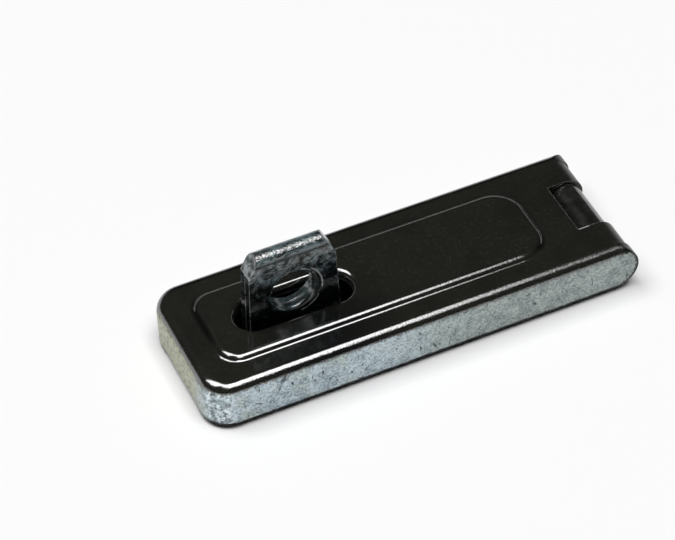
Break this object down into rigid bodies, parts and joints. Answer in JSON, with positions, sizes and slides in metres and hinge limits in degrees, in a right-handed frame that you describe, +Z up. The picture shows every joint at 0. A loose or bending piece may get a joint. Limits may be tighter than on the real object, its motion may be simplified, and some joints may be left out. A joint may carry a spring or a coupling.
{
  "type": "chest hasp",
  "caption": "Long pressed-steel hasp with a raised panel, closed over a folded padlock staple, with its hinge plate and screws concealed under it.",
  "frame": {"origin": "on the chest's surface, under the middle of the cover", "axes": "+X along the cover from the staple to the hinge, +Y across it, +Z up from the chest"},
  "size_m": [0.102, 0.035, 0.0305],
  "materials": {
    "cover_plating": "glossy dark plating on top, mottled bluish zinc on the walls",
    "plate_plating": "glossy dark zinc plating",
    "pin_steel": "plain drawn steel",
    "staple_plating": "glossy blue-black plating, brighter on its worn fold and edges"
  },
  "bodies": {
    "fixed": {"hinge_plate": "plate_plating", "hinge_pin": "pin_steel", "hasp_staple": "staple_plating"},
    "cover": {"hasp_cover": "cover_plating"}
  },
  "joints": [
    {"name": "cover_swing", "type": "hinge", "parent": "fixed", "child": "cover", "pos_m": [0.04555, 0, 0.00755], "axis": [0, 1, 0], "range_deg": [0, 180]}
  ]
}
